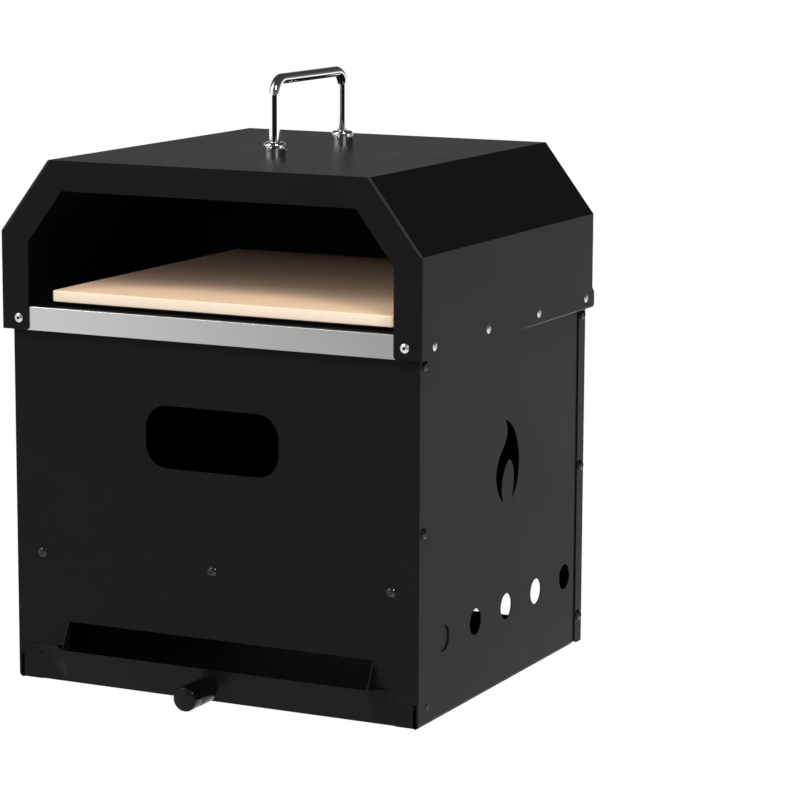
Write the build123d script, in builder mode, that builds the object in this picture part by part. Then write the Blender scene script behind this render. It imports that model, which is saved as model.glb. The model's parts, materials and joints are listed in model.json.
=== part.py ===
from build123d import *
import os

os.makedirs("parts", exist_ok=True)

# Portable two-tier oven grill in folded steel sheet: a firebox and an oven hood that lifts off it.
# Millimetres. X runs left to right seen from the front, -Y points to the front and +Z up.
# The origin is on the ground, in the middle of the whole object's outline.

# Sheet metal and play
sheet = 1.0  # steel sheet of the firebox, the hood and the ash tray
bend_radius = 4.0  # outside of the firebox's folded bottom edges
shoulder_radius = 1.6  # outside of the hood's folds
rest_gap = 0.3  # under a loose piece, above what it rests on
hole_play = 0.1  # around a fastener's shank
joint_play = 0.5  # between the ends of flanges that share a corner

# Firebox
body_width = 380.0  # over the side panels
body_depth = 335.8  # front face to back face
body_height = 321.4  # ground to the top flanges
top_flange = 10.0  # folded in at the top of every panel
bottom_flange = 22.0  # folded in under the side panels, the object's feet
back_bottom_flange = 12.0
side_flange = 60.0  # of the front panel, folded back inside the side panels
back_flange = 14.0  # of the back panel, folded forward outside the side panels
back_seam = 6.5  # open seam between a side panel and the back panel's flange

# Openings in the firebox
window_width = 125.0
window_height = 52.8
window_low = 194.5
window_corner = 20.0
slot_inset = 44.8  # ends of the air slot above the ash tray's front, from the firebox's sides
slot_shift = 4.8  # of that slot and of the scoop below it, to the right of the middle
slot_top = 53.5
back_slot_inset = 32.0
back_slot_low = 15.0
vent_radius = 11.2
vent_height = 66.4
vent_count = 5
vent_first = 46.1  # behind the front face
vent_last = 40.1  # ahead of the back face
flame_shift = 3.1  # of the flame-shaped cut-out, behind the middle of the side
flame_height = 71.0
flame_low = 157.5

# Charcoal grate and its rails
rail_screw_height = 111.5
rail_screw_inset = 25.2  # from the firebox's sides
rail_leg = 16.0
rail_shelf = 20.0
rail_end_play = 3.0
charcoal_sheet = 1.5
charcoal_play = 1.5
charcoal_lip = 8.0
charcoal_slot_length = 52.0
charcoal_slot_width = 8.0
charcoal_slot_pitch_x = 68.0
charcoal_slot_pitch_y = 24.0

# Ash tray
tray_front_low = 1.0
tray_front_height = 30.0
tray_front_play = 0.3  # under the front panel's edge
scoop_reach = 12.0  # how far the plate's upper edge leans out
scoop_blend = 12.0  # between the leaning middle and a flush end
corner_slit_width = 4.0
corner_slit_top = 20.5
tray_wall = 12.7
tray_lip = 25.7
tray_side_play = 4.5
tray_back_play = 14.0
tray_rivet_inset = 21.7
tray_rivet_height = 23.3
knob_diameter = 21.0
knob_height = 14.0
knob_reach = 50.0  # front face of the firebox to the end of the knob
knob_length = 37.4
knob_dome = 1.4
knob_round = 2.0
neck_diameter = 13.0
knob_bolt_bite = 18.0

# Hood
side_play = 4.5  # between the firebox and the hood's sides
front_play = 7.2
back_play = 1.2
strip_height = 20.0  # the bright strip, from the hood's lower edge to the shelf
hood_side_height = 82.8
hood_rise = 60.9  # of the slanted shoulders
hood_top_width = 298.0
frame_border = 25.3  # around the mouth
tab_corner = 3.0
hood_flange = 32.0  # side flanges of the front frame and of the back panel
ear_height = 19.3  # of the rounded ears at the shell's lower back corners
ear_reach = 4.5  # behind the shell
ear_blend = 8.0
ear_corner = 3.6
strip_sheet = 1.2
strip_round = 0.8
strip_end_play = 3.5
trim_rivet_inset = 15.5
trim_rivet_height = 9.8
side_rivet_height = 9.5
side_rivet_front = 23.2
side_rivet_back = 14.0
shelf_front_band = 27.0
shelf_side_band = 15.5
shelf_back_band = 20.0
shelf_back_lip = 15.0
back_rivet_inset = 45.5

# Handle
handle_diameter = 9.0
handle_height = 68.6  # lid to the top of the bar
handle_span = 124.6  # between the legs' axes
handle_bend = 12.8  # of the bar's centre line
handle_shift = 8.0  # behind the middle of the lid
foot_diameter = 18.6
foot_height = 12.0
foot_base = 4.0
foot_round = 2.6
foot_play = 0.3
set_screw_height = 6.8
set_screw_diameter = 4.6
set_screw_proud = 0.7  # of the foot's side
set_screw_socket = 2.2
set_screw_socket_depth = 2.0

# Stone and cooking grate
stone_side_play = 34.5  # to the hood's sides, which leaves a square of 320 for a 12 inch pizza
stone_back_play = 11.2  # to the hood's back panel
stone_thickness = 9.5
stone_setback = 14.0  # behind the hood's front
stone_shift = 3.9  # of the stone and the cooking grate, to the right of the middle
stone_corner = 2.0
stone_edge = 0.7
grate_inset = 5.0  # of the rim's axis, from the stone's sides
grate_front_bearing = 4.7  # of the rim's axis, past the edge of the shelf's opening
grate_back_bearing = 7.3
grate_corner = 12.0
rim_wire = 2.6
bar_wire = 2.2
bar_count = 15

# Fasteners
screw_diameter = 4.0
screw_head_diameter = 9.0
screw_head_height = 2.8
recess_length = 0.55  # of a head's diameter
recess_width = 0.13
nut_flats = 7.0
nut_height = 3.0
rivet_head_diameter = 8.0
rivet_head_height = 1.4
rivet_tail_diameter = 6.0
rivet_tail_end = 4.8
rivet_tail_height = 1.5
rivet_hole_diameter = 2.4  # left by the broken stem
rivet_hole_depth = 2.0
small_rivet_scale = 0.6
bolt_diameter = 5.0
washer_diameter = 12.0
corner_screw_inset = 8.6
upper_screw_drop = 24.4  # of the upper corner screws, below the firebox's top
front_screw_drop = 160.8
back_screw_inset = 7.0
back_screw_drop = 159.7
back_screw_low = 24.8
corner_rivet_inset = 16.3
corner_rivet_height = 15.7

# Places worked out from the sizes above
overall_depth = knob_reach + body_depth + back_play + sheet + ear_reach
front = knob_reach - overall_depth / 2
back = front + body_depth
half = body_width / 2
shelf_low = body_height + rest_gap
shelf_top = shelf_low + sheet
hood_low = shelf_top - strip_height
hood_knee = hood_low + hood_side_height
hood_top = hood_knee + hood_rise
hood_front = front - front_play - sheet
hood_back = back + back_play + sheet
hood_half = half + side_play + sheet
inner_half = hood_half - sheet
hood_middle = (hood_front + hood_back) / 2


def block(x, y, z, mode=Mode.ADD):
    """A piece of flat sheet, or a cut, between a low and a high value on each axis."""
    with Locations(((x[0] + x[1]) / 2, (y[0] + y[1]) / 2, (z[0] + z[1]) / 2)):
        Box(x[1] - x[0], y[1] - y[0], z[1] - z[0], mode=mode)


def facing_front(y):
    """The upright plane at y that looks to the front; a negative extrusion goes backwards."""
    return Plane.XZ.offset(-y)


def bore(plane, points, radius, depth):
    """Round holes through the open part, reaching a depth to both sides of a plane."""
    with BuildSketch(plane) as circles:
        with Locations(*points):
            Circle(radius)
    extrude(circles.sketch, amount=depth, both=True, mode=Mode.SUBTRACT)


def copies(piece, places):
    """One copy of a fastener on each plane, with the plane's normal pointing out of the head."""
    with Locations(*places):
        add(piece)


def mirrored(values):
    """The values to both sides of the middle."""
    return [side * value for side in (-1, 1) for value in values]


def face_across(x, corners):
    """An upright face at x, from its corners as (y, z)."""
    with BuildSketch(Plane.YZ.offset(x)) as face:
        with BuildLine():
            Polyline(*corners, close=True)
        make_face()
    return face.sketch


# Front panel: face with window, side flanges, top flange and a low opening for the ash tray and its air
face_half = half - sheet
tray_front_top = tray_front_low + tray_front_height
tray_front_half = face_half - corner_slit_width
rail_screw_xs = (-half + rail_screw_inset, 0, half - rail_screw_inset)
slot_ends = (slot_inset - half + slot_shift, half - slot_inset + slot_shift)
corner_screw_heights = (body_height - front_screw_drop, body_height - upper_screw_drop)
screw_bore = screw_diameter / 2 + hole_play
small_bore = small_rivet_scale * screw_diameter / 2 + hole_play
flange_low = bend_radius + rest_gap

with BuildPart() as body_front_panel:
    block((-face_half, face_half), (front, front + sheet), (corner_slit_top, body_height))
    for side in (-1, 1):
        flange_x = sorted((side * (face_half - sheet), side * face_half))
        block(flange_x, (front, front + side_flange), (flange_low, body_height - sheet - joint_play))
    top_z = (body_height - sheet, body_height)
    block((-face_half + top_flange, face_half - top_flange), (front, front + top_flange), top_z)
    edge = tray_front_top + tray_front_play
    tray_cut = (front - sheet, front + 2 * sheet)
    block((-tray_front_half, tray_front_half), tray_cut, (0, edge), mode=Mode.SUBTRACT)
    block(slot_ends, tray_cut, (0, slot_top), mode=Mode.SUBTRACT)
    with BuildSketch(facing_front(front)) as window:
        with Locations((0, window_low + window_height / 2)):
            RectangleRounded(window_width, window_height, window_corner)
    extrude(window.sketch, amount=2 * sheet, both=True, mode=Mode.SUBTRACT)
    bore(facing_front(front), [(x, rail_screw_height) for x in rail_screw_xs], screw_bore, 2 * sheet)
    corner_screw_y = front + corner_screw_inset
    corner_rivet_y = front + corner_rivet_inset
    corner_points = [(corner_screw_y, z) for z in corner_screw_heights]
    corner_rivet_points = [(corner_rivet_y, corner_rivet_height)]
    bore(Plane.YZ, corner_points, screw_bore, body_width)
    bore(Plane.YZ, corner_rivet_points, small_bore, body_width)
body_front_panel.part.label = "body_front_panel"
export_step(body_front_panel.part, "parts/body_front_panel.step")

# Side panels: one sheet each, folded in at the top and the bottom, stepped in under the back panel's flange
side_back = back - back_flange - back_seam
vent_pitch = (body_depth - vent_first - vent_last) / (vent_count - 1)
back_screw_heights = (back_screw_low, body_height - back_screw_drop, body_height - upper_screw_drop)
with BuildPart() as body_right_panel:
    with BuildSketch(facing_front(front)) as side_section:
        with BuildLine():
            Polyline(
                (half - bottom_flange, 0),
                (half, 0),
                (half, body_height),
                (half - top_flange, body_height),
                (half - top_flange, body_height - sheet),
                (half - sheet, body_height - sheet),
                (half - sheet, sheet),
                (half - bottom_flange, sheet),
                close=True,
            )
        make_face()
        folds = side_section.vertices().filter_by(lambda corner: corner.X > half - 2 * sheet)
        outer_fold = folds.sort_by(Axis.X)[-2:].sort_by(Axis.Z)[0]
        inner_fold = folds.sort_by(Axis.X)[:2].sort_by(Axis.Z)[0]
        fillet(outer_fold, bend_radius)
        fillet(inner_fold, bend_radius - sheet)
    extrude(side_section.sketch, amount=front - side_back)
    fold_start = front + top_flange + joint_play
    fold_end = back - top_flange - joint_play
    block((half - top_flange, half - sheet), (front, fold_start), top_z, mode=Mode.SUBTRACT)
    block((half - top_flange, half - sheet), (fold_end, back), top_z, mode=Mode.SUBTRACT)
    bottom_cut = (front, front + 2 * sheet)
    block((half - bottom_flange, half - bend_radius), bottom_cut, (0, sheet), mode=Mode.SUBTRACT)
    step_z = (1.5 * sheet, body_height - 2 * sheet)
    block((half - 2 * sheet, half - sheet), (side_back - sheet, back - sheet - joint_play), step_z)
    with BuildSketch(Plane.YZ.offset(half - sheet)) as vents:
        for number in range(vent_count):
            with Locations((front + vent_first + number * vent_pitch, vent_height)):
                Circle(vent_radius)
    extrude(vents.sketch, amount=sheet, mode=Mode.SUBTRACT)
    with BuildSketch(Plane.YZ.offset(half - sheet)) as flame:
        with BuildLine():
            flame_y = (front + back) / 2 + flame_shift
            tips = [(9, 1), (-5, 71), (-8, 0), (4, 36)]
            bends = [
                [(19, 11), (23.5, 25), (22, 43), (13, 60)],
                [(-3, 54), (-15, 42), (-23, 27), (-19, 11)],
                [(-11, 16), (-6, 28)],
                [(13, 22), (12, 10)],
            ]
            share = flame_height / tips[1][1]
            for number, between in enumerate(bends):
                points = [tips[number], *between, tips[(number + 1) % 4]]
                Spline(*[(flame_y + share * across, flame_low + share * up) for across, up in points])
        make_face()
    extrude(flame.sketch, amount=sheet, mode=Mode.SUBTRACT)
    back_screw_y = back - back_screw_inset
    side_points = corner_points + [(back_screw_y, z) for z in back_screw_heights]
    bore(Plane.YZ.offset(half), side_points, screw_bore, 3 * sheet)
    bore(Plane.YZ.offset(half), corner_rivet_points, small_bore, 3 * sheet)
body_right_panel.part.label = "body_right_panel"
export_step(body_right_panel.part, "parts/body_right_panel.step")

with BuildPart() as body_left_panel:
    mirror(body_right_panel.part, about=Plane.YZ)
body_left_panel.part.label = "body_left_panel"
export_step(body_left_panel.part, "parts/body_left_panel.step")

# Back panel: face with an air slot, outside flanges over the side panels' stepped edges
with BuildPart() as body_back_panel:
    block((-half, half), (back - sheet, back), (0, body_height))
    for side in (-1, 1):
        flange_x = sorted((side * (half - sheet), side * half))
        block(flange_x, (back - back_flange, back), (0, body_height))
    block((-face_half + top_flange, face_half - top_flange), (back - top_flange, back), top_z)
    block((-half + bottom_flange, half - bottom_flange), (back - back_bottom_flange, back), (0, sheet))
    back_slot = (back_slot_low, slot_top)
    back_slot_x = (-half + back_slot_inset, half - back_slot_inset)
    block(back_slot_x, (back - 2 * sheet, back + sheet), back_slot, mode=Mode.SUBTRACT)
    bore(facing_front(back), [(x, rail_screw_height) for x in rail_screw_xs], screw_bore, 2 * sheet)
    bore(Plane.YZ, [(back_screw_y, z) for z in back_screw_heights], screw_bore, body_width)
    corners = body_back_panel.edges().filter_by(Axis.X).group_by(Axis.Z)[0]
    fillet(corners.filter_by(lambda edge: edge.length < 2 * sheet).group_by(Axis.Y)[0], bend_radius)
body_back_panel.part.label = "body_back_panel"
export_step(body_back_panel.part, "parts/body_back_panel.step")

# Grate rails: angle strips behind the front and back panels
rail_half = face_half - sheet - rail_end_play
rail_top = rail_screw_height + rail_leg / 2
with BuildPart() as front_grate_rail:
    block((-rail_half, rail_half), (front + sheet, front + 2 * sheet), (rail_top - rail_leg, rail_top))
    shelf_y = (front + sheet, front + sheet + rail_shelf)
    block((-rail_half, rail_half), shelf_y, (rail_top - sheet, rail_top))
    bore(facing_front(front), [(x, rail_screw_height) for x in rail_screw_xs], screw_bore, 3 * sheet)
front_grate_rail.part.label = "front_grate_rail"
export_step(front_grate_rail.part, "parts/front_grate_rail.step")

with BuildPart() as back_grate_rail:
    block((-rail_half, rail_half), (back - 2 * sheet, back - sheet), (rail_top - rail_leg, rail_top))
    block((-rail_half, rail_half), (back - sheet - rail_shelf, back - sheet), (rail_top - sheet, rail_top))
    bore(facing_front(back), [(x, rail_screw_height) for x in rail_screw_xs], screw_bore, 3 * sheet)
back_grate_rail.part.label = "back_grate_rail"
export_step(back_grate_rail.part, "parts/back_grate_rail.step")

# Charcoal grate: slotted sheet on the rails, small enough to lift out between the top flanges
charcoal_half = half - top_flange - charcoal_play
charcoal_front = front + top_flange + charcoal_play
charcoal_back = back - top_flange - charcoal_play
charcoal_low = rail_top + rest_gap
charcoal_rows = int((charcoal_back - charcoal_front) / charcoal_slot_pitch_y)
charcoal_columns = int(2 * charcoal_half / charcoal_slot_pitch_x)
with BuildPart() as charcoal_grate:
    plate_z = (charcoal_low, charcoal_low + charcoal_sheet)
    block((-charcoal_half, charcoal_half), (charcoal_front, charcoal_back), plate_z)
    lip_y = (front + sheet + rail_shelf + charcoal_play, back - sheet - rail_shelf - charcoal_play)
    for side in (-1, 1):
        lip_x = sorted((side * (charcoal_half - charcoal_sheet), side * charcoal_half))
        block(lip_x, lip_y, (charcoal_low - charcoal_lip, charcoal_low))
    with BuildSketch(Plane.XY.offset(charcoal_low)) as slots:
        with Locations((0, (charcoal_front + charcoal_back) / 2)):
            pitches = (charcoal_slot_pitch_x, charcoal_slot_pitch_y)
            with GridLocations(*pitches, charcoal_columns, charcoal_rows):
                SlotOverall(charcoal_slot_length, charcoal_slot_width)
    extrude(slots.sketch, amount=charcoal_sheet, mode=Mode.SUBTRACT)
charcoal_grate.part.label = "charcoal_grate"
export_step(charcoal_grate.part, "parts/charcoal_grate.step")

# Ash tray pan: slides on the side panels' bottom flanges
pan_half = face_half - sheet - tray_side_play
pan_front = front + sheet
pan_back = back - tray_back_play
pan_low = sheet + rest_gap
with BuildPart() as ash_tray_pan:
    block((-pan_half, pan_half), (pan_front, pan_back), (pan_low, pan_low + sheet))
    for side in (-1, 1):
        wall_x = sorted((side * (pan_half - sheet), side * pan_half))
        block(wall_x, (pan_front, pan_back), (pan_low, pan_low + tray_wall))
    block((-pan_half, pan_half), (pan_back - sheet, pan_back), (pan_low, pan_low + tray_wall))
    block((-pan_half, pan_half), (pan_front, pan_front + sheet), (pan_low, pan_low + tray_lip))
    tray_rivet_points = [(x, tray_rivet_height) for x in mirrored([half - tray_rivet_inset])]
    bore(facing_front(pan_front), tray_rivet_points, small_bore, 2 * sheet)
    bore(facing_front(pan_front), [(0, knob_height)], bolt_diameter / 2 + hole_play, 2 * sheet)
ash_tray_pan.part.label = "ash_tray_pan"
export_step(ash_tray_pan.part, "parts/ash_tray_pan.step")

# Ash tray front: flat ends flush with the firebox, the middle leaning out as an air scoop with cheeks
upright = [
    (front, tray_front_low),
    (front + sheet, tray_front_low),
    (front + sheet, tray_front_top),
    (front, tray_front_top),
]
lip = front - scoop_reach
leaning = [*upright[:2], (lip + sheet, tray_front_top), (lip, tray_front_top)]
cheek = [upright[0], leaning[3], (front, slot_top - tray_front_play)]
with BuildPart() as ash_tray_front:
    extrude(face_across(slot_ends[0], leaning), amount=slot_ends[1] - slot_ends[0])
    for side, end in zip((-1, 1), slot_ends):
        flat_start = end + side * scoop_blend
        loft([face_across(end, leaning), face_across(flat_start, upright)], ruled=True)
        extrude(face_across(flat_start, upright), amount=side * tray_front_half - flat_start)
        extrude(face_across(end, cheek), amount=-side * sheet)
    bore(facing_front(front), tray_rivet_points, small_bore, 2 * sheet)
    bore(facing_front(front), [(0, knob_height)], bolt_diameter / 2 + hole_play, 2 * scoop_reach)
ash_tray_front.part.label = "ash_tray_front"
export_step(ash_tray_front.part, "parts/ash_tray_front.step")

# Knob: moulded, turned profile along the bolt, its neck trimmed to the leaning plate
knob_end = front - knob_reach
knob_radius = knob_diameter / 2
with BuildPart() as tray_knob:
    with BuildSketch(Plane.YZ.offset(0)) as knob_profile:
        with BuildLine():
            rim = knob_end + knob_dome
            Polyline(
                (rim + knob_round, knob_height + knob_radius),
                (knob_end + knob_length, knob_height + knob_radius),
                (knob_end + knob_length + knob_round, knob_height + neck_diameter / 2),
                (front, knob_height + neck_diameter / 2),
                (front, knob_height),
                (knob_end, knob_height),
            )
            TangentArc(
                (knob_end, knob_height),
                (rim, knob_height + knob_radius - knob_round),
                tangent=(0, 1),
            )
            RadiusArc(
                (rim, knob_height + knob_radius - knob_round),
                (rim + knob_round, knob_height + knob_radius),
                knob_round,
            )
        make_face()
    revolve(knob_profile.sketch, axis=Axis((0, 0, knob_height), (0, 1, 0)))
    lean = scoop_reach / tray_front_height
    high = tray_front_top + tray_front_height
    low = tray_front_low - tray_front_height
    behind_plate = [
        (front - lean * (high - tray_front_low), high),
        (front + sheet + scoop_reach, high),
        (front + sheet + scoop_reach, low),
        (front - lean * (low - tray_front_low), low),
    ]
    extrude(face_across(-knob_radius, behind_plate), amount=knob_diameter, mode=Mode.SUBTRACT)
    bolt_end = front - scoop_reach - knob_bolt_bite
    with BuildSketch(facing_front(front)) as thread:
        with Locations((0, knob_height)):
            Circle(bolt_diameter / 2 + hole_play)
    extrude(thread.sketch, amount=front - bolt_end + joint_play, mode=Mode.SUBTRACT)
tray_knob.part.label = "tray_knob"
export_step(tray_knob.part, "parts/tray_knob.step")


# Fasteners are turned about Z: the head's seat is at the origin, the head above it and the shank below
def screw(head_diameter, head_height, diameter, length):
    """A domed screw, with a crossed recess whose arms are shares of the head."""
    rim = head_height / 4
    with BuildPart() as made:
        with BuildSketch(Plane.XZ) as profile:
            with BuildLine():
                radius = head_diameter / 2
                Polyline(
                    (0, head_height),
                    (0, -length),
                    (diameter / 2, -length),
                    (diameter / 2, 0),
                    (radius, 0),
                    (radius, rim),
                )
                TangentArc((0, head_height), (radius, rim), tangent=(1, 0))
            make_face()
        revolve(profile.sketch, axis=Axis.Z)
        arm = head_diameter * recess_length
        for turn in (0, 90):
            with Locations(Location((0, 0, head_height), (0, 0, turn))):
                Box(arm, head_diameter * recess_width, head_height, mode=Mode.SUBTRACT)
    return made.part


def nut(flats, height, diameter):
    """A hexagon nut that reaches down from the origin."""
    with BuildPart() as made:
        with BuildSketch() as outline:
            RegularPolygon(flats / 2, 6, major_radius=False)
            Circle(diameter / 2 + hole_play, mode=Mode.SUBTRACT)
        extrude(outline.sketch, amount=-height)
    return made.part


def rivet(scale, grip):
    """A blind rivet through a stack of sheets of the given thickness, with its set tail below them."""
    with BuildPart() as made:
        with BuildSketch(Plane.XZ) as profile:
            with BuildLine():
                head = scale * rivet_head_diameter / 2
                tail = scale * rivet_tail_diameter / 2
                shank = scale * screw_diameter / 2
                tail_end = scale * rivet_tail_end / 2
                end = -grip - scale * rivet_tail_height
                TangentArc((0, scale * rivet_head_height), (head, 0), tangent=(1, 0))
                Polyline((head, 0), (shank, 0), (shank, -grip), (tail, -grip), (tail_end, end), (0, end))
                Line((0, end), (0, scale * rivet_head_height))
            make_face()
        revolve(profile.sketch, axis=Axis.Z)
        with Locations((0, 0, scale * rivet_head_height)):
            Cylinder(scale * rivet_hole_diameter / 2, 2 * scale * rivet_hole_depth, mode=Mode.SUBTRACT)
    return made.part


front_planes = [Plane((x, front, rail_screw_height), z_dir=(0, -1, 0)) for x in rail_screw_xs]
rail_screw = screw(screw_head_diameter, screw_head_height, screw_diameter, 2 * sheet + nut_height)
rail_nut = nut(nut_flats, nut_height, screw_diameter)
with BuildPart() as front_rail_screws:
    copies(rail_screw, front_planes)
front_rail_screws.part.label = "front_rail_screws"
export_step(front_rail_screws.part, "parts/front_rail_screws.step")

with BuildPart() as front_rail_nuts:
    copies(rail_nut, [plane.offset(-2 * sheet) for plane in front_planes])
front_rail_nuts.part.label = "front_rail_nuts"
export_step(front_rail_nuts.part, "parts/front_rail_nuts.step")

back_planes = [Plane((x, back, rail_screw_height), z_dir=(0, 1, 0)) for x in rail_screw_xs]
with BuildPart() as back_rail_screws:
    copies(rail_screw, back_planes)
back_rail_screws.part.label = "back_rail_screws"
export_step(back_rail_screws.part, "parts/back_rail_screws.step")

with BuildPart() as back_rail_nuts:
    copies(rail_nut, [plane.offset(-2 * sheet) for plane in back_planes])
back_rail_nuts.part.label = "back_rail_nuts"
export_step(back_rail_nuts.part, "parts/back_rail_nuts.step")


def side_planes(distance, points):
    """Planes on both outer sides, facing out, at (y, z) points."""
    return [Plane((side * distance, y, z), z_dir=(side, 0, 0)) for side in (-1, 1) for y, z in points]


corner_planes = side_planes(half, [(corner_screw_y, z) for z in corner_screw_heights])
with BuildPart() as front_corner_screws:
    copies(rail_screw, corner_planes)
front_corner_screws.part.label = "front_corner_screws"
export_step(front_corner_screws.part, "parts/front_corner_screws.step")

with BuildPart() as front_corner_nuts:
    copies(rail_nut, [plane.offset(-2 * sheet) for plane in corner_planes])
front_corner_nuts.part.label = "front_corner_nuts"
export_step(front_corner_nuts.part, "parts/front_corner_nuts.step")

back_corner_planes = side_planes(half, [(back_screw_y, z) for z in back_screw_heights])
with BuildPart() as back_corner_screws:
    copies(rail_screw, back_corner_planes)
back_corner_screws.part.label = "back_corner_screws"
export_step(back_corner_screws.part, "parts/back_corner_screws.step")

with BuildPart() as back_corner_nuts:
    copies(rail_nut, [plane.offset(-2 * sheet) for plane in back_corner_planes])
back_corner_nuts.part.label = "back_corner_nuts"
export_step(back_corner_nuts.part, "parts/back_corner_nuts.step")

with BuildPart() as lower_corner_rivets:
    copies(rivet(small_rivet_scale, 2 * sheet), side_planes(half, corner_rivet_points))
lower_corner_rivets.part.label = "lower_corner_rivets"
export_step(lower_corner_rivets.part, "parts/lower_corner_rivets.step")

with BuildPart() as tray_front_rivets:
    tray_rivet = rivet(small_rivet_scale, 2 * sheet)
    copies(tray_rivet, [Plane((x, front, z), z_dir=(0, -1, 0)) for x, z in tray_rivet_points])
tray_front_rivets.part.label = "tray_front_rivets"
export_step(tray_front_rivets.part, "parts/tray_front_rivets.step")

with BuildPart() as tray_knob_bolt:
    bolt_seat = pan_front + sheet
    knob_bolt = screw(screw_head_diameter, screw_head_height, bolt_diameter, bolt_seat - bolt_end)
    copies(knob_bolt, [Plane((0, bolt_seat, knob_height), z_dir=(0, 1, 0))])
tray_knob_bolt.part.label = "tray_knob_bolt"
export_step(tray_knob_bolt.part, "parts/tray_knob_bolt.step")


def hood_section(y, low, inset, corner):
    """The hood's outline at y, down to a height, its sides moved in and its folds rounded."""
    with BuildSketch(facing_front(y)) as section:
        with BuildLine():
            Polyline(
                (-hood_half, low - inset),
                (-hood_half, hood_knee),
                (-hood_top_width / 2, hood_top),
                (hood_top_width / 2, hood_top),
                (hood_half, hood_knee),
                (hood_half, low - inset),
                close=True,
            )
        make_face()
        if inset:
            offset(amount=-inset, kind=Kind.INTERSECTION, mode=Mode.REPLACE)
        folds = section.vertices().group_by(Axis.Z)[1:]
        fillet([fold for level in folds for fold in level], corner)
    return section.sketch


# Hood shell: sides with rounded ears at their lower back corners, slanted shoulders and lid in one sheet
shell_front = hood_front + sheet
handle_y = hood_middle + handle_shift
leg_ys = (handle_y - handle_span / 2, handle_y + handle_span / 2)
rivet_first = hood_front + side_rivet_front
rivet_last = hood_back - side_rivet_back
rivet_pitch = (rivet_last - rivet_first) / 3
side_rivet_z = hood_low + side_rivet_height
side_rivet_points = [(rivet_first + number * rivet_pitch, side_rivet_z) for number in range(4)]
with BuildPart() as hood_shell:
    extrude(hood_section(shell_front, hood_low, 0, shoulder_radius), amount=shell_front - hood_back)
    inside = hood_section(shell_front, hood_low - sheet, sheet, shoulder_radius - sheet)
    extrude(inside, amount=shell_front - hood_back, mode=Mode.SUBTRACT)
    ear_top = hood_low + ear_height
    ear_back = hood_back + ear_reach
    for side in (-1, 1):
        with BuildSketch(Plane.YZ.offset(side * inner_half)) as ear:
            with BuildLine():
                Bezier(
                    (hood_back, ear_top),
                    (hood_back, ear_top - ear_blend / 2),
                    (ear_back, ear_top - ear_blend / 2),
                    (ear_back, ear_top - ear_blend),
                )
                Line((ear_back, ear_top - ear_blend), (ear_back, hood_low + ear_corner))
                TangentArc(
                    (ear_back, hood_low + ear_corner),
                    (ear_back - ear_corner, hood_low),
                    tangent=(0, -1),
                )
                Polyline((ear_back - ear_corner, hood_low), (hood_back, hood_low), (hood_back, ear_top))
            make_face()
        extrude(ear.sketch, amount=side * sheet)
    bore(Plane.YZ, side_rivet_points, screw_bore, body_width)
    bore(Plane.XY.offset(hood_top), [(0, y) for y in leg_ys], bolt_diameter / 2 + hole_play, 2 * sheet)
hood_shell.part.label = "hood_shell"
export_step(hood_shell.part, "parts/hood_shell.step")

# Front frame: plate around the mouth with tabs beside the bright strip and flanges inside the shell
knee_play = 1.5
trim_points = [(x, hood_low + trim_rivet_height) for x in mirrored([hood_half - trim_rivet_inset])]
with BuildPart() as hood_front_frame:
    extrude(hood_section(hood_front, hood_low, 0, shoulder_radius), amount=-sheet)
    mouth = hood_section(hood_front, hood_low - strip_height, frame_border, shoulder_radius)
    extrude(mouth, amount=-sheet, mode=Mode.SUBTRACT)
    tab_edges = hood_front_frame.edges().filter_by(Axis.Y).group_by(Axis.Z)[0]
    fillet(tab_edges.filter_by(lambda edge: abs(edge.center().X) < inner_half - sheet), tab_corner)
    for side in (-1, 1):
        flange_x = sorted((side * (inner_half - sheet), side * inner_half))
        block(flange_x, (hood_front, hood_front + hood_flange), (hood_low + sheet, hood_knee - knee_play))
    lid_half = hood_top_width / 2 - 2 * sheet
    lid_z = (hood_top - 2 * sheet, hood_top - sheet)
    block((-lid_half, lid_half), (hood_front, hood_front + top_flange), lid_z)
    bore(Plane.YZ, side_rivet_points[:1], screw_bore, body_width)
    bore(facing_front(hood_front), trim_points, screw_bore, 2 * sheet)
hood_front_frame.part.label = "hood_front_frame"
export_step(hood_front_frame.part, "parts/hood_front_frame.step")

# Hood back panel: plate inside the shell with flanges
with BuildPart() as hood_back_panel:
    face = hood_section(hood_back - sheet, hood_low, sheet, shoulder_radius - sheet)
    extrude(face, amount=-sheet)
    for side in (-1, 1):
        flange_x = sorted((side * (inner_half - sheet), side * inner_half))
        block(flange_x, (hood_back - hood_flange, hood_back), (hood_low + sheet, hood_knee - knee_play))
    block((-lid_half, lid_half), (hood_back - top_flange, hood_back), lid_z)
    bore(Plane.YZ, side_rivet_points[3:], screw_bore, body_width)
    back_rivet_xs = (-hood_half + back_rivet_inset, 0, hood_half - back_rivet_inset)
    back_rivet_points = [(x, shelf_top + shelf_back_lip / 2) for x in back_rivet_xs]
    bore(facing_front(hood_back), back_rivet_points, screw_bore, 2 * sheet)
hood_back_panel.part.label = "hood_back_panel"
export_step(hood_back_panel.part, "parts/hood_back_panel.step")

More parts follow.
